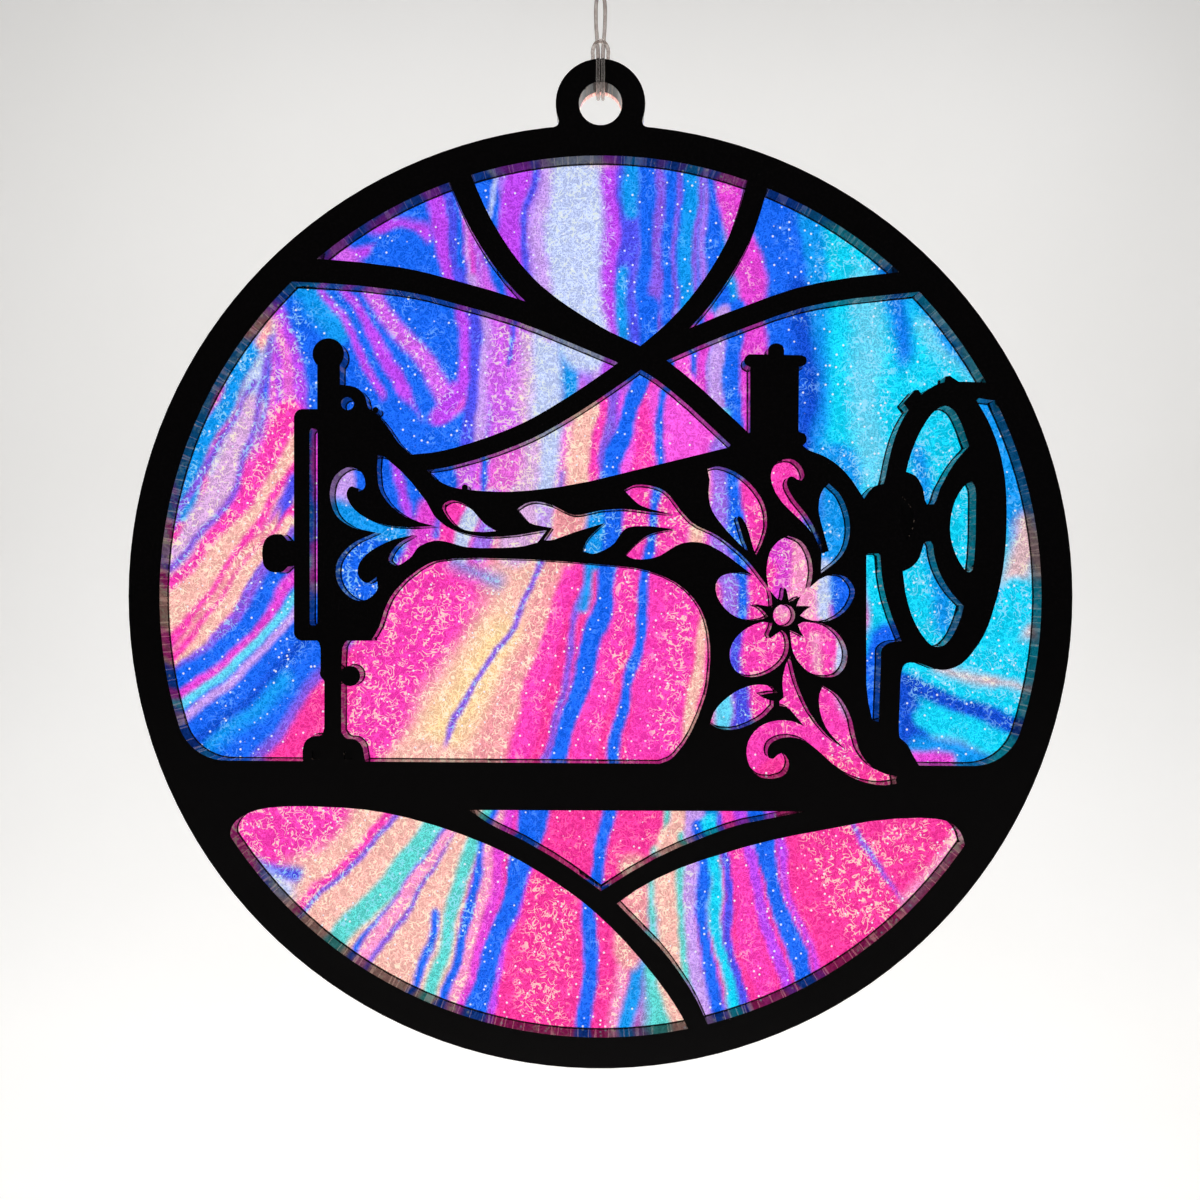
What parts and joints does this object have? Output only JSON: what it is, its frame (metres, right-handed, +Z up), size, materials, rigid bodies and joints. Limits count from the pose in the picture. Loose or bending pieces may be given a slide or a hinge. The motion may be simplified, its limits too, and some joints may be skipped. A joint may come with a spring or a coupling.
{
  "type": "suncatcher",
  "caption": "Round hanging window ornament: a black acrylic lattice with a sewing machine in silhouette over a thin marbled colour panel, on a loop of clear cord.",
  "frame": {"origin": "middle of the hanging hole in the tab, half way through the stack of the two sheets", "axes": "+Z up towards the knot, -Y towards the viewer of the black front face, +X to the viewer's right"},
  "size_m": [0.1524, 0.0073, 0.1804],
  "materials": {
    "black_acrylic": "polished black acrylic with flame-bright laser-cut edges",
    "marbled_acrylic": "translucent marbled blue, violet, pink and cream with a fine textured shimmer",
    "clear_cord": "clear nylon line"
  },
  "bodies": {
    "root": {"lattice": "black_acrylic", "color_panel": "marbled_acrylic", "hanging_cord": "clear_cord", "cord_knot": "clear_cord"}
  },
  "joints": []
}
